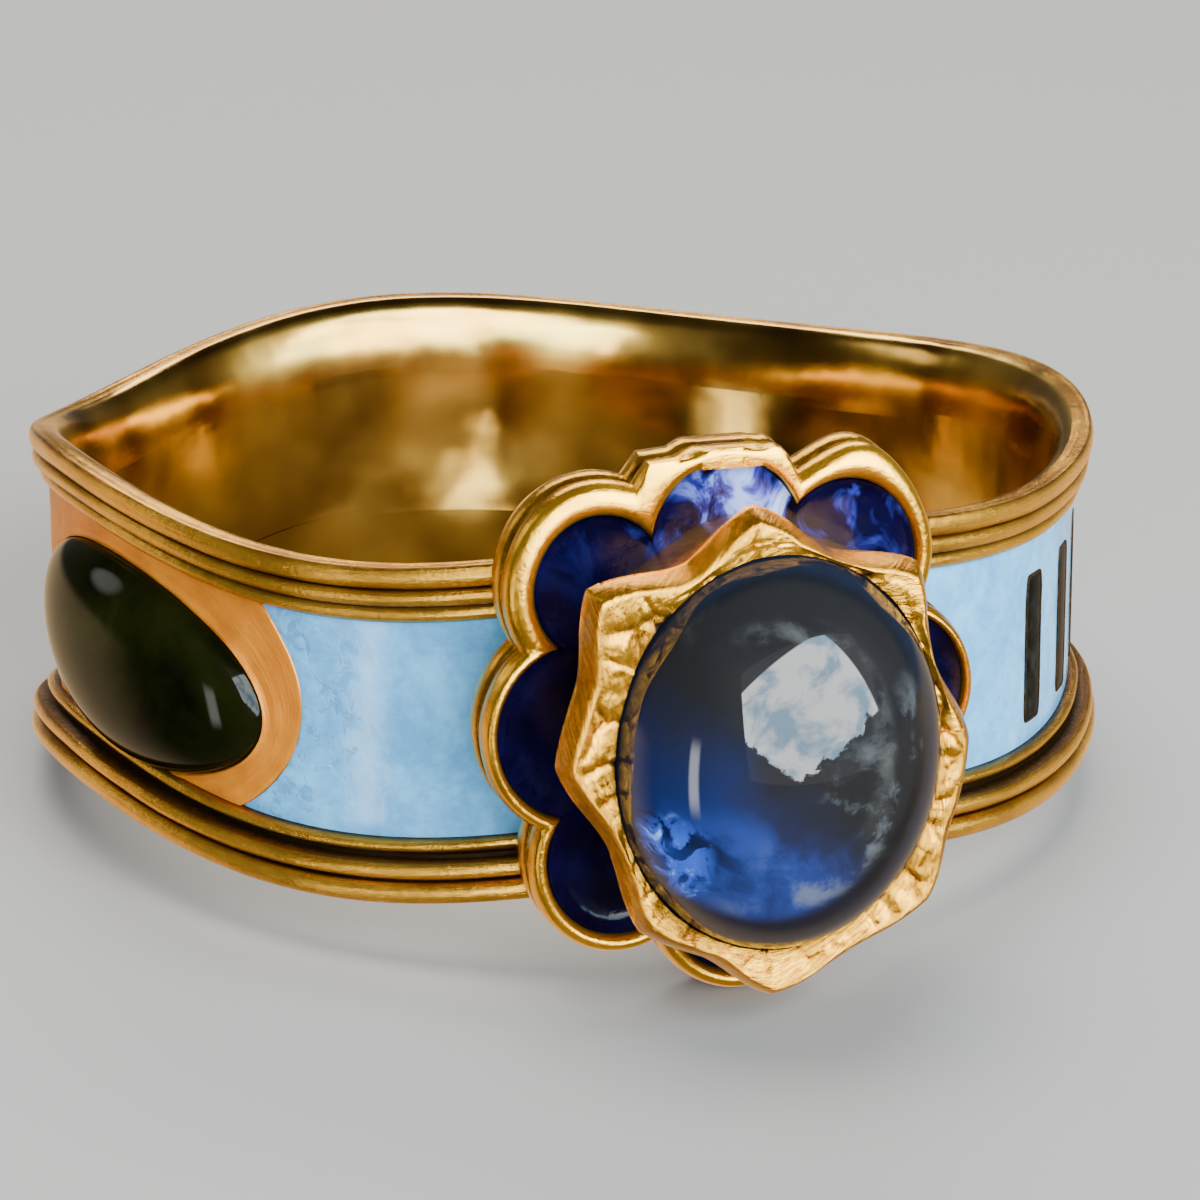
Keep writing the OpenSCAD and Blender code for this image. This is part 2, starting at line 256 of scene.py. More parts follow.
def gold(name, bright, deep, low, high, grain, marks=0.6, lumps=0.4, pits=0.25, detail=6.0, metal=1.0):
    """Old gold: dark in hollows, bright on worn crests, with marks drawn out along the work.

    Its two colours, its least and most roughness and the scale of the marks come first. Then come the
    shares of marks, lumps and pits in the relief.
    """
    finish, shader, first = begin(name, Metallic=metal)
    spot = in_mm(first)
    wear = first.node("Attribute", {"attribute_name": "wear"}, out=2)
    run = first.node("Attribute", {"attribute_name": "run"}, out=1)
    drawn = run.node("Mapping", {}, {0: run, 3: grain})
    lines = mottled(drawn, 1.0, detail, 0.1 * detail + 0.1)
    cloud = mottled(spot, 0.6, detail - 1, 0.1 * detail)
    fine = mottled(spot, 6.0, min(5.0, detail), 0.7)
    # The wear values set light and dark here, and on some pieces they paint light or shade.
    tone = (wear * 0.9 + cloud * 1.3 + lines * 0.8 + fine * pits * 1.2 - 1.35).between(-0.1, 0.9)
    colour = tone.blend((*deep, 1), (*bright, 1))
    dirt_and_shade = (lines * 0.35 + fine * pits * 1.2 - wear).between(-0.05, 0.4)
    colour = dirt_and_shade.blend(colour, DIRT_AND_SHADE)
    height = fine * pits + lines * marks + cloud * lumps
    bump = height.node("Bump", {}, {"Strength": 0.5, "Distance": 0.0001, "Height": height})
    speckle = min(0.4, 1.6 * pits)
    dull = (fine * speckle + lines * 0.3 + cloud * (0.7 - speckle)).between(0.3, 0.7) * (high - low)
    feed(finish, shader, Base_Color=colour, Normal=bump, Roughness=dull + low + dirt_and_shade * 0.3)
    return finish


def reed_side(side, a):
    """Section of one rim at an angle, from inside its edge to the enamel: radius, height, wear."""
    rise = RIM_RISE * (UPPER_RIM if side > 0 else 1)
    reeds = UPPER_REEDS if side > 0 else LOWER_REEDS
    ease = COMFORT + (COMFORT_WORN if side > 0 else 0)
    x, y, _ = stood(FIELD_R, a, 0)
    out = []
    for i in range(COMFORT_STEPS + 1):
        t = math.pi / 2 * i / COMFORT_STEPS
        out.append((HOLE_R + ease * (1 - math.cos(t)), HALF_H - COMFORT_H * (1 - math.sin(t)), 0.7))
    start = out[-1][0]
    end = FIELD_R + rise * EDGE_SHARE
    for i in range(1, EDGE_STEPS):
        f = i / EDGE_STEPS
        line = EDGE_LINE * math.exp(-((f - 0.55) / 0.09) ** 2) * (0.6 + 0.4 * rough(x, y, side, 3, 7))
        z = HALF_H - line + 0.012 * math.sin(math.pi * f)
        out.append((start + (end - start) * f, z, 0.6 - line * 9))
    for k, (s0, s1, low, high) in enumerate(reeds):
        if k == 2:
            groove = UPPER_GROOVE
            if side < 0:
                groove = LOWER_GROOVE + 0.35 * max(0.0, rough(x, y, 2, 4, 4))
            for i in range(1, GROOVE_STEPS):
                s = reeds[1][1] + (s0 - reeds[1][1]) * i / GROOVE_STEPS
                r = FIELD_R + rise * (groove + 0.03 * rough(x, y, s, 1))
                out.append((r, HALF_H - RIM_H * s, -0.1))
        for i in range(REED_STEPS[k] + 1):
            f = i / REED_STEPS[k]
            swell = math.sin(math.pi * f) ** 0.62
            next_to_reed = k == 0 and f > 0.5 or k == 1 and f < 0.5
            dip = 0.1 * (1 - swell) if next_to_reed else 0
            dip *= (0.7 if side < 0 else 0.34) + 0.6 * rough(x, y, k, 1.7, 5)
            r = FIELD_R + rise * (low + (high - low) * swell - 2.2 * dip)
            r += 0.02 * rough(x, y, 9 * k + side, 1.3) * swell + 0.024 * rough(x, y, 4 * k - side, 4)
            z = HALF_H - RIM_H * (s0 + (s1 - s0) * f) + 0.02 * rough(x, y, k + 5 * side, 2.1, 8) * swell
            out.append((r, z, 0.15 + 0.85 * swell - 3 * dip))
    out.append((FIELD_R - 0.05, ENAMEL_HALF, 0.0))
    out.append((FLOOR_R, ENAMEL_HALF, 0.0))
    return [(r, side * z, w) for r, z, w in out]


def section(a):
    """Whole section of the shank at an angle, once round."""
    x, y, _ = stood(HOLE_R, a, 0)
    levels = [INSIDE_STEP * k for k in range(-4, 5)]
    inner = [(HOLE_R + 0.035 * rough(x, y, z, 2.6), -z, 0.7) for z in levels]
    return list(reversed(reed_side(1, a))) + inner + reed_side(-1, a)


shank_gold = gold(
    "shank_gold", (1.0, 0.51, 0.05), (0.34, 0.13, 0.01), 0.10, 0.30, (0.25, 7.0, 1.0), metal=0.9)
inner_gold = gold(
    "inner_gold", (1.0, 0.64, 0.13), (0.36, 0.18, 0.03), 0.15, 0.25, (0.06, 0.35, 1.0),
    marks=0.4, lumps=1.3, pits=0.0, detail=3.0)
turn = [HEAD_A + TURN_STEP * i for i in range(round(360 / TURN_STEP))]
sections = [section(a) for a in turn]
shank = skin(
    "shank",
    [[stood(r, a, z) for r, z, _ in rows] for a, rows in zip(turn, sections)],
    shank_gold, closed=True, wear_and_light_rows=[[w for _, _, w in rows] for rows in sections],
)
shank.data.materials.append(inner_gold)
edge = len(reed_side(1, 0)) - COMFORT_STEPS - 1
inside = [edge <= j < len(sections[0]) - edge for j in range(len(sections[0]))]
shank.data.polygons.foreach_set("material_index", [int(f) for f in inside * len(turn)])
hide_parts("band")

# Left of the head the enamel stops at an oval of bare gold that stands level with it. It was left
# matt, with the marks of the tools that pressed its inner edge over the green stone.
GREEN_A = 201.5
GREEN_L = 7.0
GREEN_W = 3.66
GREEN_DROP = 0.25
GREEN_DOME = 0.78
GREEN_GAP = 0.015
GREEN_SLOPE = slope_at(GREEN_A)
RESERVE = (GREEN_L / 2 + 1.32, GREEN_W / 2 + 1.4)
RESERVE_MID = (-0.6, 0.15)
RESERVE_ROUND = 240
# The rows go up beside the stone, out over the bare gold, and down behind the enamel.
RESERVE_ROWS = 26
BESIDE_STONE = 3
LIP = 0.05


def on_field(a, x, y, r):
    """A place x along the band and y across it from the middle line at angle a, at radius r."""
    t = math.radians(a - HEAD_A)
    depth = math.sqrt(max(0.0, r * r - x * x))
    return (x * math.cos(t) + depth * math.sin(t), x * math.sin(t) - depth * math.cos(t), y + wave(a))


def oval(rx, ry, t, slope=0.0):
    """A place on an oval, which follows the slope of the band."""
    return (rx * math.cos(t), ry * math.sin(t) + slope * rx * math.cos(t))


def within_rims(x, y, a, half):
    """y kept between the rims, x millimetres along the band from angle a."""
    middle = wave(a + math.degrees(math.asin(max(-1, min(1, x / FIELD_R))))) - wave(a)
    return max(middle - half, min(middle + half, y))


rings, wear_and_light_rows = [], []
for i in range(RESERVE_ROWS):
    f = max(0.0, (i - BESIDE_STONE) / (RESERVE_ROWS - 2 - BESIDE_STONE))
    ring, marks = [], []
    for j in range(RESERVE_ROUND):
        t = 2 * math.pi * j / RESERVE_ROUND + math.pi
        inner = oval(GREEN_L / 2 + GREEN_GAP, GREEN_W / 2 + GREEN_GAP, t, GREEN_SLOPE)
        outer = oval(*RESERVE, t, GREEN_SLOPE)
        x0, y0 = inner[0], inner[1] - GREEN_DROP
        x1, y1 = outer[0] + RESERVE_MID[0], outer[1] + RESERVE_MID[1] + RESERVE_MID[0] * GREEN_SLOPE
        x, y = x0 + (x1 - x0) * f, y0 + (y1 - y0) * f
        x += 0.05 * f * rough(x, y, 2, 1.2)
        y = within_rims(x, y, GREEN_A, ENAMEL_HALF + 0.02)
        lip = LIP * math.exp(-((f - 0.06) / 0.05) ** 2)
        r = FIELD_R + 0.004 + lip + 0.012 * rough(x, y, 5, 0.8)
        wear = 0.62 + 0.3 * rough(x, y, 1, 0.5)
        if i < BESIDE_STONE:
            r = FLOOR_R - 0.05 + (FIELD_R + 0.02 - FLOOR_R) * i / BESIDE_STONE
            wear = 0.1
        if i == RESERVE_ROWS - 1:
            r = FLOOR_R - 0.05
            wear = 0.1
        ring.append(on_field(GREEN_A, x, y, r))
        marks.append(wear)
    rings.append(ring)
    wear_and_light_rows.append(marks)
reserve_gold = gold(
    "reserve_gold", (1.0, 0.34, 0.015), (0.66, 0.18, 0.01), 0.30, 0.5, (1.2, 0.3, 1.0),
    marks=0.9, metal=0.55)
reserve = skin("reserve", rings, reserve_gold, closed=True, wear_and_light_rows=wear_and_light_rows)
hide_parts("band")

# The green stone is an oval cabochon, nearly black, with a high polish and faint olive clouds. It
# follows the round of the band.
GREEN_ROUND = 160
GREEN_SIDE_ROWS = 6
GREEN_DOME_ROWS = 40
rings = []
for i in range(GREEN_SIDE_ROWS):
    r = FLOOR_R + 0.03 + 0.2 * (i / (GREEN_SIDE_ROWS - 1))
    ring = []
    for j in range(GREEN_ROUND):
        x, y = oval(GREEN_L / 2, GREEN_W / 2, 2 * math.pi * j / GREEN_ROUND, GREEN_SLOPE)
        ring.append(on_field(GREEN_A, x, y - GREEN_DROP, r))
    rings.append(ring)
for i in range(1, GREEN_DOME_ROWS):
    s = math.cos(math.pi / 2 * i / GREEN_DOME_ROWS)
    rise = GREEN_DOME * (1 - s ** 2.3) ** 0.55
    ring = []
    for j in range(GREEN_ROUND):
        x, y = oval(s * GREEN_L / 2, s * GREEN_W / 2, 2 * math.pi * j / GREEN_ROUND, GREEN_SLOPE)
        ring.append(on_field(GREEN_A, x, y - GREEN_DROP, FIELD_R + rise + 0.008 * rough(x, y, 0, 1.6)))
    rings.append(ring)
green, shader, first = begin("green_stone", Roughness=0.05, IOR=1.5, Specular_IOR_Level=0.18)
veins = mottled(in_mm(first), 0.42, 5.0, 0.6, 0.6)
olive = [(0.34, (0.0016, 0.0019, 0.0003)), (0.58, (0.006, 0.007, 0.0010)), (0.78, (0.020, 0.021, 0.003))]
feed(green, shader, Base_Color=veins.node("ValToRGB", {"stops": olive}, {0: veins}))
cabochon = skin("green_stone", rings, green)
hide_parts("green_cabochon")

# The field between the rims is filled with opaque pale blue enamel, polished level with the gold
# lips. It is softly clouded, with pits and a slightly wavy surface that breaks up the highlights.
HEAD_RISE = 0.45
POST = (2.6, 2.04)
# A hair's breadth between the enamel and the gold that it meets
SEAM = 0.03
ENAMEL_ROWS = 29


def post_end(y, grow):
    """How far along the band the head's post reaches at a height, from the head's middle."""
    f = min(1.0, abs(y) / (POST[1] + 2 * grow))
    return (POST[0] + grow) * math.sqrt(1 - f * f)


def reserve_end(y, side):
    """Angle at which the bare gold ends, at a height above the band's wavy middle line."""
    a = GREEN_A
    for _ in range(12):
        along = FIELD_R * math.sin(math.radians(a - GREEN_A))
        level = y + wave(a) - wave(GREEN_A) - RESERVE_MID[1] - GREEN_SLOPE * along
        f = min(0.995, abs(level) / (RESERVE[1] + SEAM))
        x = RESERVE_MID[0] + side * (RESERVE[0] + SEAM) * math.sqrt(1 - f * f)
        a = GREEN_A + math.degrees(math.asin(x / FIELD_R))
    return a


def head_end(y, side):
    """Angle at which the enamel meets the head's post, at a height above the middle line."""
    return HEAD_A + side * math.degrees(math.asin(post_end(y + wave(HEAD_A), SEAM) / FIELD_R))


def enamel_strip(name, ends, steps):
    """A curved plate of enamel from one end to the other, each given as an angle for each height."""
    rings = []
    for i in range(steps + 1):
        f = i / steps
        line, under = [], []
        for j in range(ENAMEL_ROWS):
            v = -1 + 2 * j / (ENAMEL_ROWS - 1)
            y = v * (ENAMEL_HALF - 0.01)
            a0, a1 = ends(y)
            a = a0 + (a1 - a0) * f
            from_rim = (1 - abs(v)) * ENAMEL_HALF
            from_end = min(f, 1 - f) * abs(a1 - a0) * FIELD_R * math.pi / 180
            sunk = 0.03 * math.exp(-(from_rim / 0.1)) + 0.03 * math.exp(-from_end / 0.1)
            r = FIELD_R + 0.004 - sunk + 0.006 * rough(*stood(FIELD_R, a, y), 1.1)
            line.append(stood(r, a, y))
            under.append(stood(FLOOR_R + 0.02, a, y))
        rings.append(line + under[::-1])
    return skin(name, rings, pale)


pale, shader, first = begin("pale_enamel", IOR=1.5, Specular_IOR_Level=0.6)
spot = in_mm(first)
cloud = mottled(spot, 0.9, 6.0, 0.62, 0.4)
grain = mottled(spot, 4.0, 5.0, 0.7)
pits = spot.node("TexVoronoi", {}, {0: spot, "Scale": 1.7})
tone = (cloud * 0.7 + grain * 0.3).between(0.33, 0.68)
colour = tone.blend((0.075, 0.27, 0.50, 1), (0.14, 0.45, 0.73, 1))
specks = (1 - pits.between(0.03, 0.12)) * grain.between(0.45, 0.6)
colour = (specks * 0.55).blend(colour, (0.09, 0.13, 0.20, 1))
run = first.node("Attribute", {"attribute_name": "run"}, out=1)
near_gold = 1 - parts_of(run)[0].between(0.5, 2.2)
blots = near_gold * mottled(spot, 2.4, 4.0, 0.65, 0.8).between(0.50, 0.60)
colour = (blots * 0.45).blend(colour, (0.05, 0.13, 0.25, 1))
height = cloud * 1.0 + grain * 0.35 - specks * 0.6 - blots * 1.5
feed(pale, shader, Base_Color=colour, Roughness=grain.between(0.2, 0.8) * 0.10 + 0.05,
     Normal=height.node("Bump", {}, {"Strength": 0.14, "Distance": 0.00006, "Height": height}))
left = enamel_strip("pale_enamel_left", lambda y: (reserve_end(y, 1), head_end(y, -1)), 90)
right = enamel_strip("pale_enamel_right", lambda y: (head_end(y, 1), reserve_end(y, -1) + 360), 420)
for piece, node in ((left, "enamel_left"), (right, "enamel_right")):
    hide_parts(node)

# Five upright bars of black enamel stand in the pale blue, each in a cell with thin gold walls that
# were ground level with the enamel.
BARS = 5
BAR_FROM = 46.5
BAR_STEP = 10.6
BAR_W = 0.72
BAR_H = 2.84
BAR_DROP = 0.14
BAR_ROUND = 64
BAR_CORNER = 0.22
# Rows from the foot of the cell's wall to the middle of the bar: distance in from the edge, height
BAR_ROWS = [(0.0, -0.2), (0.0, 0.0), (0.0, 0.024), (0.012, 0.032), (0.045, 0.03), (0.055, 0.022),
            (0.065, 0.02), (0.12, 0.028), (0.2, 0.032), (0.3, 0.034)]
CELL_ROWS = 5
jet, shader, first = begin("black_enamel", IOR=1.45, Specular_IOR_Level=0.03)
dust = mottled(in_mm(first), 3.0, 4.0)
colour = dust.between(0.4, 0.75).blend((0.002, 0.0025, 0.003, 1), (0.012, 0.013, 0.012, 1))
feed(jet, shader, Base_Color=colour, Roughness=dust * 0.2 + 0.2)
cell_gold = gold("cell_gold", (0.72, 0.50, 0.22), (0.35, 0.22, 0.09), 0.25, 0.45, (3.0, 3.0, 1.0))
for k in range(BARS):
    a = BAR_FROM + HEAD_A + BAR_STEP * k
    rings = []
    for inset, rise in BAR_ROWS:
        ring = []
        for j in range(BAR_ROUND):
            t = 2 * math.pi * (j + 0.5) / BAR_ROUND
            cx, sy = math.cos(t), math.sin(t)
            x = math.copysign(abs(cx) ** BAR_CORNER, cx) * (BAR_W / 2 - inset)
            y = math.copysign(abs(sy) ** BAR_CORNER, sy) * (BAR_H / 2 - inset)
            x += 0.02 * rough(y, k, x, 0.5)
            ring.append(on_field(a, x, y - BAR_DROP, FIELD_R + rise))
        rings.append(ring)
    bar = skin("black_bar_%d" % (k + 1), rings, cell_gold)
    bar.data.materials.append(jet)
    foot = (len(BAR_ROWS) - 1) * BAR_ROUND
    for face in bar.data.polygons:
        face.material_index = int(face.index >= CELL_ROWS * BAR_ROUND and face.index != foot)
    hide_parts("enamel_bar_%d" % (k + 1))

# The head is a gold tray of eight uneven round lobes, raised by hand on a post. Its wall is a lower
# bead and a brighter upper bead with a dark groove between them, mitred where two lobes meet.
HEAD_TURN = 2.6
TALL = 1.10
LOBE_AT = 2.9
LOBE_R = 1.28
TRAY_WALL = 0.3
TRAY_FLAT = 4.6
TRAY_BACK = 10.09
TRAY_BED = 10.39
LOBE_STEPS = 30
# Each lobe's angle, and its shares of LOBE_AT, LOBE_R and TRAY_WALL
LOBES = [(0, 0.98, 0.98, 0.6), (47, 1.035, 0.98, 1.15), (90, 0.92, 1.03, 1.0), (135, 1.08, 0.90, 1.7),
         (180, 0.94, 1.10, 0.85), (225, 1.04, 0.98, 1.0), (270, 1.02, 1.05, 1.0), (315, 1.03, 1.02, 0.95)]
# The wall of the top lobe is worn to a flat lug, from left to right, with this top and inner edge.
LUG_FROM = -1.72
LUG_TO = 1.1
LUG_TOP = 4.52
LUG_INNER = 4.27
# The wall of the lobe on its right is drawn up, from left to right and by this much.
DRAWN_FROM = 1.2
DRAWN_TO = 3.6
DRAWN_UP = 0.24


def in_head(x, y, out):
    """A place in the head, x to the right, y upwards and out from the band's axis."""
    return (x, -out, y + HEAD_RISE)


def lobe_mid(k):
    """The middle of lobe k."""
    t = math.radians(LOBES[k % 8][0] + HEAD_TURN)
    return Vector((math.cos(t), math.sin(t))) * LOBE_AT * LOBES[k % 8][1]


def cusp(k, wall, grow):
    """Where lobe k meets the next one, for a share of the wall and a little growth."""
    a, b = lobe_mid(k), lobe_mid(k + 1)
    r, s = (LOBE_R * LOBES[n % 8][2] + wall * TRAY_WALL * LOBES[n % 8][3] + grow for n in (k, k + 1))
    d = (b - a).length
    u = (b - a) / d
    part = (r * r - s * s + d * d) / (2 * d)
    return a + u * part + Vector((u.y, -u.x)) * math.sqrt(max(0.0, r * r - part * part))


def lobed(wall, grow=0.0, top=10.0):
    """Outline round all eight lobes, no higher than the top."""
    out = []
    for k in range(8):
        mid = lobe_mid(k)
        r = LOBE_R * LOBES[k][2] + wall * TRAY_WALL * LOBES[k][3] + grow
        start, end = cusp(k + 7, wall, grow) - mid, cusp(k, wall, grow) - mid
        t0 = math.atan2(start.y, start.x)
        turned = (math.atan2(end.y, end.x) - t0) % (2 * math.pi)
        for i in range(LOBE_STEPS):
            t = t0 + turned * i / LOBE_STEPS
            out.append((mid.x + r * math.cos(t), min(top, TALL * (mid.y + r * math.sin(t)))))
    return out


# Section of the tray's wall: share of the wall, growth, height out from the axis, wear
WALL = [(1, -0.10, 10.09, 0.1), (1, -0.04, 10.12, 0.4), (1, 0.0, 10.20, 0.7), (1, 0.012, 10.30, 0.8),
        (1, 0.012, 10.40, 0.9), (1, 0.0, 10.49, 0.8), (1, -0.03, 10.56, 0.5), (1, -0.08, 10.605, 0.1),
        (1, -0.13, 10.635, -0.25), (1, -0.135, 10.66, -0.3), (1, -0.09, 10.69, 0.1),
        (1, -0.04, 10.74, 0.6), (1, -0.01, 10.82, 0.85), (1, 0.0, 10.92, 0.95),
        (1, -0.015, 11.02, 1.0), (1, -0.05, 11.11, 1.0), (0.72, 0.0, 11.185, 1.0),
        (0.52, 0.0, 11.225, 1.0), (0.36, 0.0, 11.235, 1.0), (0.2, 0.0, 11.215, 1.0),
        (0.08, 0.0, 11.17, 0.95), (0.0, 0.0, 11.10, 0.85), (0.0, -0.01, 11.0, 0.5),
        (0.0, -0.012, 10.9, 0.0), (0.0, -0.012, 10.45, 0.0)]
rings, wear_and_light_rows = [], []
foot_line = lobed(1, -0.1, TRAY_FLAT)
for share, out in ((0.0, FIELD_R - 0.3), (0.0, FIELD_R + 0.1), (0.0, TRAY_BACK), (0.5, TRAY_BACK)):
    ring = []
    for x, y in foot_line:
        t = math.atan2(y * POST[0], x * POST[1])
        px, py = POST[0] * math.cos(t), POST[1] * math.sin(t) - HEAD_RISE
        ring.append(in_head(px + (x - px) * share, py + (y - py) * share, out))
    rings.append(ring)
    wear_and_light_rows.append([0.0] * len(ring))
for wall, grow, out, wear in WALL:
    ring, marks = [], []
    for x, y in lobed(wall, grow, TRAY_FLAT + 0.5 * min(0.0, grow)):
        shake = 0.022 * rough(x, y, out, 0.9, 2) * min(1.0, (out - TRAY_BACK) / 0.3)
        push = 1 + shake / max(1.0, math.hypot(x, y))
        if y > 3.3 and LUG_FROM < x < LUG_TO:
            lug = min(1.0, (x - LUG_FROM) / 0.2, (LUG_TO - x) / 0.4) * min(1.0, (wall - 0.3) / 0.3)
            y = max(y, y + (LUG_TOP + 0.07 * x + grow - y) * max(0.0, lug))
        if y > 2.6 and DRAWN_FROM < x < DRAWN_TO:
            y += DRAWN_UP * wall * math.sin(math.pi * (x - DRAWN_FROM) / (DRAWN_TO - DRAWN_FROM)) ** 2
        if wall < 0.3 and y > 3.3 and -1.35 < x < 1.0:
            y = min(y, LUG_INNER)
        ring.append(in_head(x * push, y * push, out + 0.014 * rough(x, y, 3, 1.3)))
        marks.append(wear)
    rings.append(ring)
    wear_and_light_rows.append(marks)
tray_gold = gold(
    "tray_gold", (1.0, 0.50, 0.03), (0.34, 0.13, 0.008), 0.08, 0.24, (5.0, 0.5, 1.0),
    marks=0.3, metal=0.93)
tray = skin("tray", rings, tray_gold, wear_and_light_rows=wear_and_light_rows)
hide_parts("band")

# Glassy dark blue enamel lies in the lobes and runs on behind the cusps, up to the collar. It was
# drawn up a little at the walls when it melted. Broken blue and white highlights are painted on it at the
# top.
PETAL_TOP = 10.99
PETAL_DROP = 0.06
PETAL_CREEP = 0.14
PETAL_ROWS = 18
# The stone's half width and half height, and where its middle stands from the tray's
SAPPHIRE = (2.83, 3.43)
ASIDE = (0.2, -0.2)
TOOTH = 1.3
# Each tooth's reach, the dip after it, and how far it leans round towards the next
TEETH = [(0.48, 0.11, -0.08), (0.59, 0.09, -0.04), (0.62, 0.26, 0.08), (1.00, 0.58, 0.07),
         (0.70, 0.21, -0.06), (0.48, 0.33, 0), (0.72, 0.45, -0.08), (0.69, 0.46, 0.0)]
# The collar's outside: share of its height, distance beyond the stone, and share of the teeth
COLLAR = [(0.0, -0.05, 0.12), (0.3, 0.0, 0.28), (0.6, 0.0, 0.55), (0.78, 0.0, 0.88), (0.84, 0.0, 1.0)]


def reach(u):
    """How far the teeth stand out from the stone, u lobes round from the right."""
    k = math.floor(u)
    if u < k + TEETH[k % 8][2]:
        k -= 1
    elif u >= k + 1 + TEETH[(k + 1) % 8][2]:
        k += 1
    start = k + TEETH[k % 8][2]
    f = (u - start) / (k + 1 + TEETH[(k + 1) % 8][2] - start)
    dip = TEETH[k % 8][1]
    tip = TEETH[(k if f < 0.5 else k + 1) % 8][0]
    straight = abs(1 - 2 * f) ** 1.35
    rounded = (0.5 + 0.5 * math.cos(2 * math.pi * f)) ** 1.3
    return TOOTH * (dip + (tip - dip) * (0.65 * straight + 0.35 * rounded))


def collar_at(u, share, grow=0.0):
    """Place on the collar's outside, u lobes round, at a share of its height."""
    k = max(i for i in range(len(COLLAR) - 1) if share >= COLLAR[i][0])
    (s0, f0, t0), (s1, f1, t1) = COLLAR[k], COLLAR[k + 1]
    f = (share - s0) / (s1 - s0)
    m = f0 + (f1 - f0) * f + (t0 + (t1 - t0) * f) * reach(u) + grow
    q = math.radians(45 * u + HEAD_TURN)
    return (SAPPHIRE[0] + m) * math.cos(q) + ASIDE[0], (SAPPHIRE[1] + m) * math.sin(q) + ASIDE[1]


deep, shader, first = begin("deep_blue_enamel", IOR=1.5, Specular_IOR_Level=0.17)
spot = in_mm(first)
streak = spot.node("Mapping", {}, {0: spot, 2: (0.3, 0.5, 0.4), 3: (1.4, 1.0, 1.1)})
shards = mottled(streak, 0.85, 4.0, 0.6, 0.9)
cloud = mottled(spot, 0.8, 4.0)
# Blue and white highlights are painted where the points are marked for them, at the top.
lit = first.node("Attribute", {"attribute_name": "wear"}, out=2)
colour = cloud.between(0.35, 0.7).blend((0.0006, 0.0004, 0.006, 1), (0.0016, 0.0012, 0.020, 1))
colour = (shards.between(0.46, 0.62) * lit).blend(colour, (0.04, 0.055, 0.45, 1))
colour = (shards.between(0.54, 0.66) * lit * lit).blend(colour, (0.32, 0.43, 0.74, 1))
height = shards * 1.0 + cloud * 0.6
feed(deep, shader, Base_Color=colour, Roughness=shards * 0.12 + 0.04,
     Normal=height.node("Bump", {}, {"Strength": 0.12, "Distance": 0.0001, "Height": height}))
rings, wear_and_light_rows = [], []
for i in range(PETAL_ROWS + 2):
    f = max(0.0, (i - 1) / PETAL_ROWS)
    ring, marks = [], []
    for x, y in lobed(0, -0.02):
        t = math.atan2((y - ASIDE[1]) / SAPPHIRE[1], (x - ASIDE[0]) / SAPPHIRE[0])
        cx, cy = collar_at((math.degrees(t) - HEAD_TURN) / 45 % 8, 0.25, -0.06)
        px, py = x + (cx - x) * f, y + (cy - y) * f
        from_wall = f * math.hypot(cx - x, cy - y)
        creep = PETAL_CREEP * math.exp(-from_wall / 0.15)
        out = PETAL_TOP - PETAL_DROP + creep + 0.015 * rough(px, py, 1, 0.9)
        if i == 0:
            out = TRAY_BED + 0.02
        ring.append(in_head(px, py, out))
        # Painted highlight: the top lobes are marked to be painted with blue and white light.
        facing = math.exp(-((px - 1.0) / 1.9) ** 2) * max(0.0, min(1.0, (py - 2.0) / 1.2))
        marks.append(facing + 0.02)
    rings.append(ring)
    wear_and_light_rows.append(marks)
petals = skin("deep_blue_enamel", rings, deep, wear_and_light_rows=wear_and_light_rows)
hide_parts("petal_enamel")

# The collar is a tapering gold wall soldered into the tray. Its edge was cut by hand into eight
# uneven teeth, and hammered inwards to the stone, which left the upper face rough and bright.
COLLAR_LOW = 10.31
COLLAR_TOP = 13.04
COLLAR_H = COLLAR_TOP - COLLAR_LOW
COLLAR_ROUND = 480
OUTSIDE_ROWS = 26
FACE_ROWS = 26
# The outside ends at this share of the height. The face rises to a crest and drops to the stone.
FACE_AT = 0.84
FACE_OVER = 0.03
FACE_DROP = 0.1
CREST_W = 0.26
CREST_UP = 0.05
CHISEL = 0.075
INSIDE_FOOT = 11.4


def struck(x, y, size, long):
    """Depth of the facets that a hammer and chisel leave, longer across the collar than round it."""
    q = math.atan2(y / SAPPHIRE[1], x / SAPPHIRE[0])
    bent = 0.4 * noise.noise(Vector((x, y, 3)))
    spot = Vector((3.1 * q / size, math.hypot(x, y) / (size * long) + bent, 0.0))
    near, far = noise.voronoi(spot)[0][:2]
    return min(0.16, far - near) / 0.16 - 0.35 * near + 0.9 * noise.noise(spot * 0.8 + Vector((5, 0, 0)))


def round_stone(q, rx, ry):
    """A place on an oval round the middle of the stone."""
    return rx * math.cos(q) + ASIDE[0], ry * math.sin(q) + ASIDE[1]


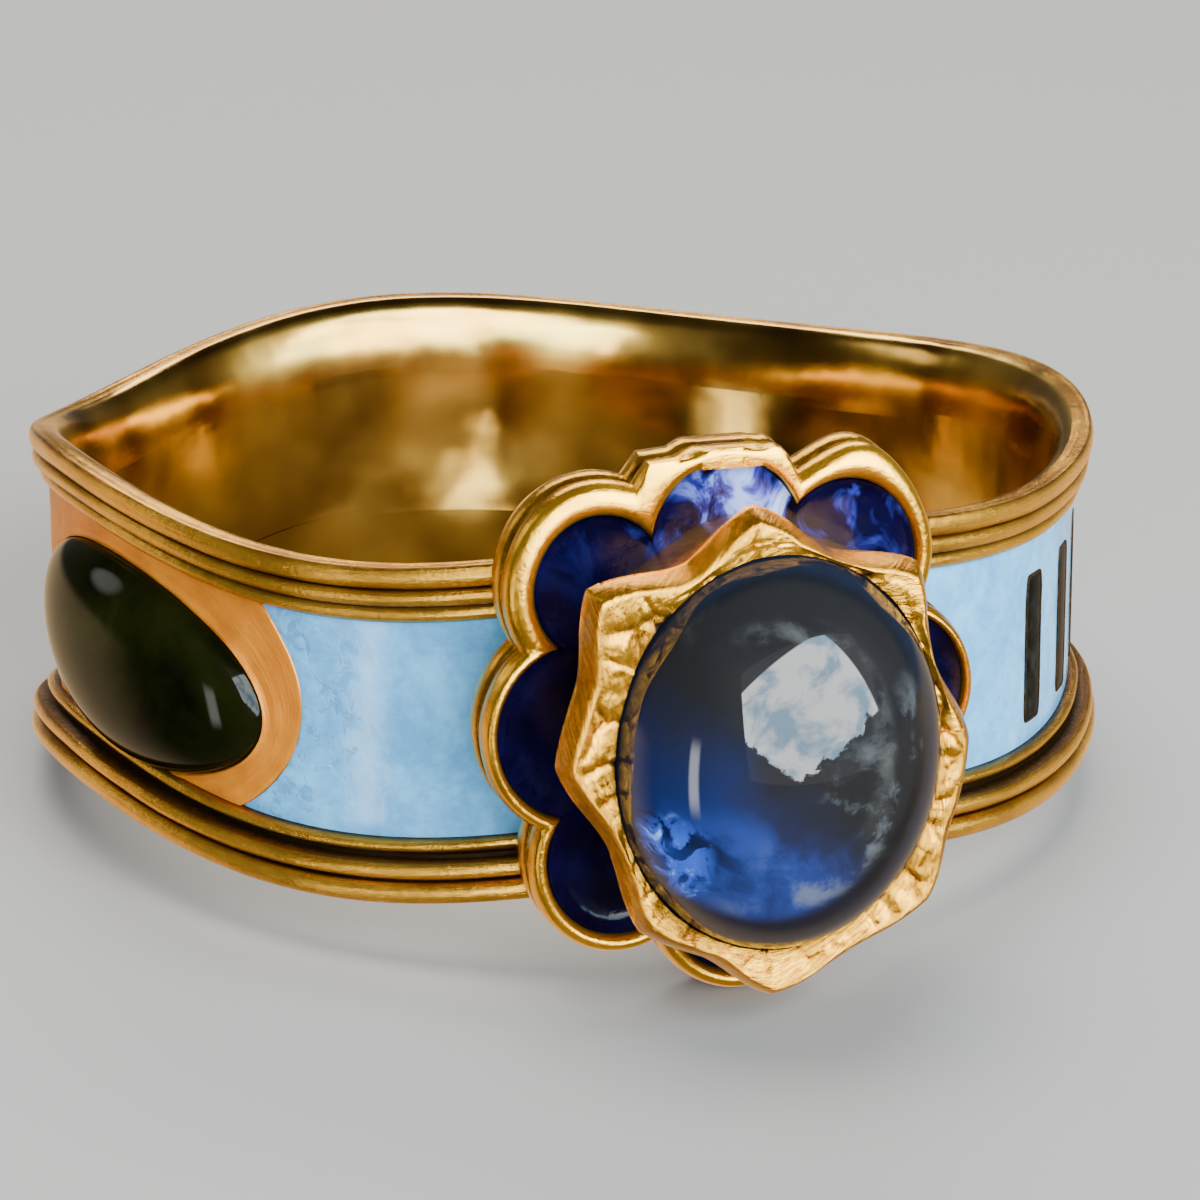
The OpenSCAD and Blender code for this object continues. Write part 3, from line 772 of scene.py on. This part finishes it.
rings, wear_and_light_rows = [], []
for i in range(OUTSIDE_ROWS + FACE_ROWS):
    ring, marks = [], []
    for j in range(COLLAR_ROUND):
        u = 8 * j / COLLAR_ROUND
        if i < OUTSIDE_ROWS:
            share = FACE_AT * i / (OUTSIDE_ROWS - 1)
            x, y = collar_at(u, share)
            out = COLLAR_LOW + COLLAR_H * share + 0.02 * rough(x, y, 2, 0.6) * share
            cut = 0.05 * rough(4.5 * u, out * 0.25, 1, 1.0) * math.sin(math.pi * min(1, share * 1.2)) ** 0.5
            # The outside is painted darker towards its foot, as shade by the tray, and lighter higher up,
            # partly as wear and partly as painted light.
            wear = 0.3 + 0.5 * share + 6.4 * max(0.0, share - 0.78)
        else:
            f = (i + 1 - OUTSIDE_ROWS) / FACE_ROWS
            ox, oy = collar_at(u, FACE_AT)
            q = math.radians(45 * u + HEAD_TURN)
            ix, iy = round_stone(q, SAPPHIRE[0] - FACE_OVER, SAPPHIRE[1] - FACE_OVER)
            x, y = ox + (ix - ox) * f, oy + (iy - oy) * f
            wide = math.hypot(ix - ox, iy - oy)
            crest = min(0.6, (CREST_W + 0.05 * rough(4 * u, 0, 7, 1.0)) / wide)
            start = COLLAR_LOW + COLLAR_H * FACE_AT
            cut = 0.0
            if f < crest:
                rise = f / crest
                out = start + (COLLAR_TOP + CREST_UP - start) * math.sin(math.pi / 2 * rise) ** 0.9
                wear = 0.5 + 0.5 * rise ** 6
            else:
                fall = (f - crest) / (1 - crest)
                chisel = 0.75 * struck(x, y, 0.7, 1.7) + 0.25 * struck(x, y, 0.28, 1.2)
                chisel += 0.4 * rough(x, y, 4, 0.45) - 0.55
                strength = math.sin(math.pi * min(1.0, fall * 0.95)) ** 0.7
                out = COLLAR_TOP + CREST_UP - FACE_DROP * fall ** 0.9 + CHISEL * chisel * strength
                wear = 1.1 - 0.1 * fall + min(0.17, chisel) * min(1.0, 4 * fall)
                # Next to the stone the face is painted dark, as shade where the collar meets the stone.
                wear -= 4 * max(0.0, fall - 0.8)
                if fall > 0.96:
                    out -= (fall - 0.96) * 5
                    wear = 0.0
        dx, dy = x - ASIDE[0], y - ASIDE[1]
        away = math.hypot(dx, dy)
        ring.append(in_head(x + cut * dx / away, y + cut * dy / away, out))
        marks.append(wear)
    rings.append(ring)
    wear_and_light_rows.append(marks)
foot = []
for j in range(COLLAR_ROUND):
    q = math.radians(360 * j / COLLAR_ROUND + HEAD_TURN)
    foot.append(in_head(*round_stone(q, SAPPHIRE[0] * 0.98, SAPPHIRE[1] * 0.98), INSIDE_FOOT))
rings.append(foot)
wear_and_light_rows.append([0.0] * COLLAR_ROUND)
collar_gold = gold(
    "collar_gold", (1.0, 0.46, 0.028), (0.38, 0.14, 0.008), 0.10, 0.28, (0.8, 4.0, 1.0),
    marks=0.9, metal=0.92)
collar = skin("collar", rings, collar_gold, closed=True, wear_and_light_rows=wear_and_light_rows)
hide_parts("band")

# The sapphire is a high oval cabochon. It is smoky grey at the top and clear blue below, partly as
# colour zoning and partly as painted light shining through the lower part. It has painted blue glints at
# the lower left and painted shade at its edge.
GIRDLE = 12.64
APEX = 15.04
DOME = APEX - GIRDLE
STONE_ROUND = 192
DOME_ROWS = 72
BACK_H = 1.3
rings = []
for share, scale in ((-1, 0.86), (-0.7, 0.93), (-0.3, 0.985)):
    ring = []
    for j in range(STONE_ROUND):
        x, y = round_stone(2 * math.pi * j / STONE_ROUND, SAPPHIRE[0] * scale, SAPPHIRE[1] * scale)
        ring.append(in_head(x, y, GIRDLE + share * BACK_H))
    rings.append(ring)
for i in range(DOME_ROWS):
    t = math.radians(89.2 * i / (DOME_ROWS - 1))
    ring = []
    for j in range(STONE_ROUND):
        q = 2 * math.pi * j / STONE_ROUND
        x, y = round_stone(q, SAPPHIRE[0] * math.cos(t), SAPPHIRE[1] * math.cos(t))
        ring.append(in_head(x, y, GIRDLE + DOME * math.sin(t)))
    rings.append(ring)
blue, shader, first = begin("sapphire", Roughness=0.02, IOR=1.55)
local = in_mm(first, laid @ Vector(in_head(ASIDE[0], ASIDE[1], GIRDLE)))
smoke = mottled(local, 0.5, 4.0, 0.55, 0.4)
veil = mottled(local, 0.95, 5.0, 0.6, 0.35)
# What lies inside is placed by millimetres across and up from the stone's middle. It is slanted with
# the height of the dome, so that it sits right for a stone seen from the upper left.
across, inwards, up = parts_of(local)
seen_x, seen_y = across - inwards * 0.27, up + inwards * 0.29
# A smoky top and a clear blue lower part, partly colour zoning and partly painted light, and a painted
# band of brighter light low down
low = (seen_y * -0.8 + seen_x * -0.7 + smoke * 2.2 - 1.4).between(-0.5, 1.5)
colour = low.blend((0.009, 0.009, 0.010, 1), (0.008, 0.015, 0.066, 1))
band = (seen_y * -1.0 - seen_x * 0.25 + smoke * 0.8).between(1.1, 1.9) * veil.between(0.36, 0.6)
band = band * (0.9 - seen_x).between(-0.9, 0.9)
colour = (band * 0.65).blend(colour, (0.016, 0.036, 0.17, 1))
# Pale veils at the lower right and in the smoke at the top
grey = (seen_x * 0.7 - seen_y * 0.6).between(0.4, 1.5) * veil.between(0.52, 0.68)
colour = (grey * 0.6).blend(colour, (0.11, 0.12, 0.13, 1))
drift = (seen_y * 0.8 - seen_x * 0.5).between(0.6, 2.2) * smoke.between(0.54, 0.72)
colour = (drift * 0.5).blend(colour, (0.07, 0.072, 0.075, 1))
# A dark crack at the lower left, with painted blue glints of light beside it
crack = seen_x * 0.486 + seen_y * 0.873 + 1.68 + veil * 0.3
crack = (1 - (crack * crack).between(0.001, 0.03)) * (seen_x + 2.5).between(0.0, 0.4)
crack = crack * (0 - seen_x).between(0.3, 0.9)
colour = (crack * 0.75).blend(colour, (0.004, 0.006, 0.020, 1))
glint_crumbs = mottled(local, 1.7, 3.0, 0.6, 1.6)
off_x, off_y = seen_x + 1.95, seen_y + 1.65
near = 1 - (off_x * off_x + off_y * off_y).between(0.15, 1.0)
colour = (near * glint_crumbs.between(0.44, 0.54)).blend(colour, (0.03, 0.08, 0.42, 1))
colour = (near * glint_crumbs.between(0.55, 0.66) * veil.between(0.42, 0.55)).blend(colour, (0.22, 0.38, 0.95, 1))
# A thin pale arc at the top and right, and painted shade at the edge under the collar
spread = (seen_x * seen_x) * (1 / 8.3) + (seen_y * seen_y) * (1 / 12.3) + veil * 0.12
arc = (spread + smoke * 0.12).between(0.42, 0.5) * (1 - (spread + smoke * 0.12).between(0.52, 0.64))
arc = arc * (seen_x * 0.7 + seen_y * 0.5).between(0.0, 1.6) * veil.between(0.4, 0.6)
colour = (arc * 0.6).blend(colour, (0.075, 0.078, 0.075, 1))
painted_edge_shade = (spread + (seen_x * 0.5 - seen_y).between(0.4, 3.0) * 0.14).between(0.74, 0.88)
colour = (painted_edge_shade * 0.92).blend(colour, (0.003, 0.0035, 0.005, 1))
feed(blue, shader, Base_Color=colour)
# At the edge a dark shader with little reflection is mixed in, as painted shade.
shaded = first.node("BsdfPrincipled", {}, {
    "Base Color": (0.006, 0.009, 0.018, 1), "Roughness": 0.1, "IOR": 1.55, "Specular IOR Level": 0.08})
clear = Worked(first.tree, shader.outputs[0])
stone = spread.node("MixShader", {}, {0: spread.between(0.79, 0.92) * 0.94, 1: clear, 2: shaded})
blue.node_tree.links.new(stone.socket, blue.node_tree.nodes["Material Output"].inputs["Surface"])
sapphire = skin("sapphire", rings, blue)
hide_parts("sapphire")

# The ring lies on a plain pale floor. The floor isn't seen in the polished gold, whose surroundings
# are dark.
bpy.ops.mesh.primitive_plane_add(size=1.6)
floor = bpy.context.object
floor.name = "floor"
paper, shader, first = begin("paper", Roughness=0.6, Base_Color=(0.27, 0.265, 0.26, 1))
floor.data.materials.append(paper)
floor.visible_glossy = False

# The camera stands where the photograph was taken: 16 degrees above the plane of the band, and 15
# degrees to the left of the head.
# Its distance is in millimetres, and the small turns are in radians.
FAR = 80.03
ASIDE_OF_HEAD = -15
RAISED = 0.278
YAW = 0.009
PITCH = -0.009
ROLL = -0.009
# Focal length in pixels of a picture 1200 wide
LONG = 4122.26
PICTURE = 1200
SENSOR = 36
back = Vector((0, -math.cos(RAISED), math.sin(RAISED)))
ahead = -back
right_hand = ahead.cross(Vector((0, 0, 1))).normalized()
top_up = right_hand.cross(ahead)


def turned(a, b, t):
    """Two directions at right angles, both turned from a towards b."""
    return a * math.cos(t) + b * math.sin(t), b * math.cos(t) - a * math.sin(t)


ahead, right_hand = turned(ahead, right_hand, YAW)
ahead, top_up = turned(ahead, top_up, PITCH)
right_hand, top_up = turned(right_hand, top_up, ROLL)
spun = Matrix.Rotation(math.radians(ASIDE_OF_HEAD), 4, "Z")
eye = laid @ spun @ (back * FAR)
look = (laid.to_3x3() @ spun.to_3x3() @ Matrix((right_hand, top_up, -ahead)).transposed()) * 1000
camera_data = bpy.data.cameras.new("camera")
camera_data.sensor_width = SENSOR
camera_data.lens = SENSOR * LONG / PICTURE
camera_data.clip_start = 0.005
camera = bpy.data.objects.new("camera", camera_data)
camera.matrix_world = Matrix.Translation(eye) @ look.to_4x4()
bpy.context.scene.collection.objects.link(camera)
bpy.context.scene.camera = camera


# The lights are soft. A window with clouds and a small soft patch are seen in the sapphire, and a
# broad light above and one at the back bring out the gold.


def lamp(name, place, aim, size, power, colour=(1, 1, 1)):
    """A soft rectangular light. Places are in millimetres on the floor's frame."""
    data = bpy.data.lights.new(name, "AREA")
    data.shape = "RECTANGLE"
    data.size, data.size_y = size[0] / 1000, size[1] / 1000
    data.energy = power
    data.color = colour
    light = bpy.data.objects.new(name, data)
    spot = Vector(place) / 1000
    light.location = spot
    light.rotation_euler = (Vector(aim) / 1000 - spot).to_track_quat("-Z", "Y").to_euler()
    bpy.context.scene.collection.objects.link(light)
    return light


def mirrored(spot, facing):
    """Direction from a spot towards what the camera sees reflected in it."""
    facing = (laid.to_3x3() @ facing).normalized()
    seen = (eye - spot).normalized()
    return 2 * facing.dot(seen) * facing - seen


def mirror_lamp(name, x, y, far, size, power, colour=(1, 1, 1)):
    """A light that the sapphire reflects to the camera at x, y shares of its half width and height."""
    s = math.sqrt(max(0.0, 1 - x * x - y * y))
    spot = Vector(in_head(SAPPHIRE[0] * x + ASIDE[0], SAPPHIRE[1] * y + ASIDE[1], GIRDLE + DOME * s))
    spot = laid @ spot
    ray = mirrored(spot, Vector((x / SAPPHIRE[0], -s / DOME, y / SAPPHIRE[1])))
    return lamp(name, (spot + ray * far / 1000) * 1000, spot * 1000, size, power, colour)


window = mirror_lamp("window", -0.01, 0.42, 300, (570, 370), 11.5, (0.92, 0.96, 1.0))
patch = mirror_lamp("patch", -0.74, 0.62, 320, (130, 170), 0.16, (1.0, 0.98, 0.94))
key = lamp("key", (-40, 30, 400), (0, 0, 3), (260, 260), 2.6, (1.0, 0.95, 0.87))
key.visible_glossy = False
lamp("back", (60, 320, 260), (0, 0, 3), (320, 120), 1.0, (1.0, 0.96, 0.9))
window.data.use_nodes = True
pane = Worked(window.data.node_tree).node("NewGeometry", out=5)
clouds = mottled(pane, 3.5, 6.0, 0.6, 0.4)
light_sky = clouds.between(0.38, 0.56).blend((0.30, 0.48, 0.62, 1), (1.0, 1.0, 0.97, 1))
# The sky is seen through a five-sided opening with a ragged lower edge.
wide, high, _ = parts_of(pane)
ragged = mottled(pane, 9.0, 5.0, 0.7) * 0.4 - 0.2
open_sky = (wide * 0.355 + 0.794 - high).between(0.0, 0.02) * (2.8 - wide * 2.47 - high).between(0.0, 0.05)
open_sky = open_sky * (high - wide * 0.568 + 0.189 + ragged).between(0.0, 0.04)
open_sky = open_sky * (high + wide * 0.9 - 0.34 + ragged).between(0.0, 0.04)
light_sky = open_sky.blend((0.02, 0.02, 0.02, 1), light_sky)
window.data.node_tree.links.new(light_sky.socket, window.data.node_tree.nodes["Emission"].inputs["Color"])

# The patch fades out towards its edges.
patch.data.use_nodes = True
pane = Worked(patch.data.node_tree).node("NewGeometry", out=5)
wide, high = (part - 0.5 for part in parts_of(pane)[:2])
soft = (wide * wide + high * high).between(0.23, 0.03).blend((0, 0, 0, 1), (1, 1, 1, 1))
patch.data.node_tree.links.new(soft.socket, patch.data.node_tree.nodes["Emission"].inputs["Color"])

# All round there is a dim room, bright in front, dark at the left and warm low down at the back. A
# thin upright light at the left is seen in the enamel, the green stone and the sapphire.
GLEAM_A = 234.5
world = bpy.data.worlds.new("studio")
world.use_nodes = True
aside, behind, height = parts_of(Worked(world.node_tree).node("TexCoord", out=0))
lit_side = aside.between(-0.85, -0.2)
shade = lit_side.blend((0.05, 0.045, 0.04, 1), (0.12, 0.115, 0.11, 1))
shade = height.between(0.0, 0.9).blend(shade, (0.03, 0.03, 0.032, 1))
glow = height.between(0.06, 0.3) * (1 - height.between(0.55, 0.85)) * lit_side
glow = glow * (0 - behind).between(-0.1, 0.6)
shade = glow.blend(shade, (0.42, 0.40, 0.37, 1))
front = lit_side.blend((0.010, 0.007, 0.005, 1), (0.24, 0.18, 0.11, 1))
under = behind.between(0.0, 0.5).blend(front, (1.05, 0.76, 0.43, 1))
shade = height.between(-0.12, 0.0).blend(under, shade)
outwards = Vector(stood(1, GLEAM_A, 0))
outwards.z = 0
gleam = mirrored(laid @ Vector(stood(FIELD_R, GLEAM_A, 0)), outwards)
gleam.z = 0
gleam.normalize()
beside = aside * gleam.y - behind * gleam.x
upright = (1 - (beside * beside).between(0.0008, 0.006)) * height.between(-0.5, -0.3)
upright = upright * (aside * gleam.x + behind * gleam.y).between(0.2, 0.5)
upright = upright * (1 - height.between(-0.05, 0.12))
shade = upright.blend(shade, (7.0, 7.0, 6.8, 1))
world.node_tree.links.new(shade.socket, world.node_tree.nodes["Background"].inputs["Color"])
bpy.context.scene.world = world
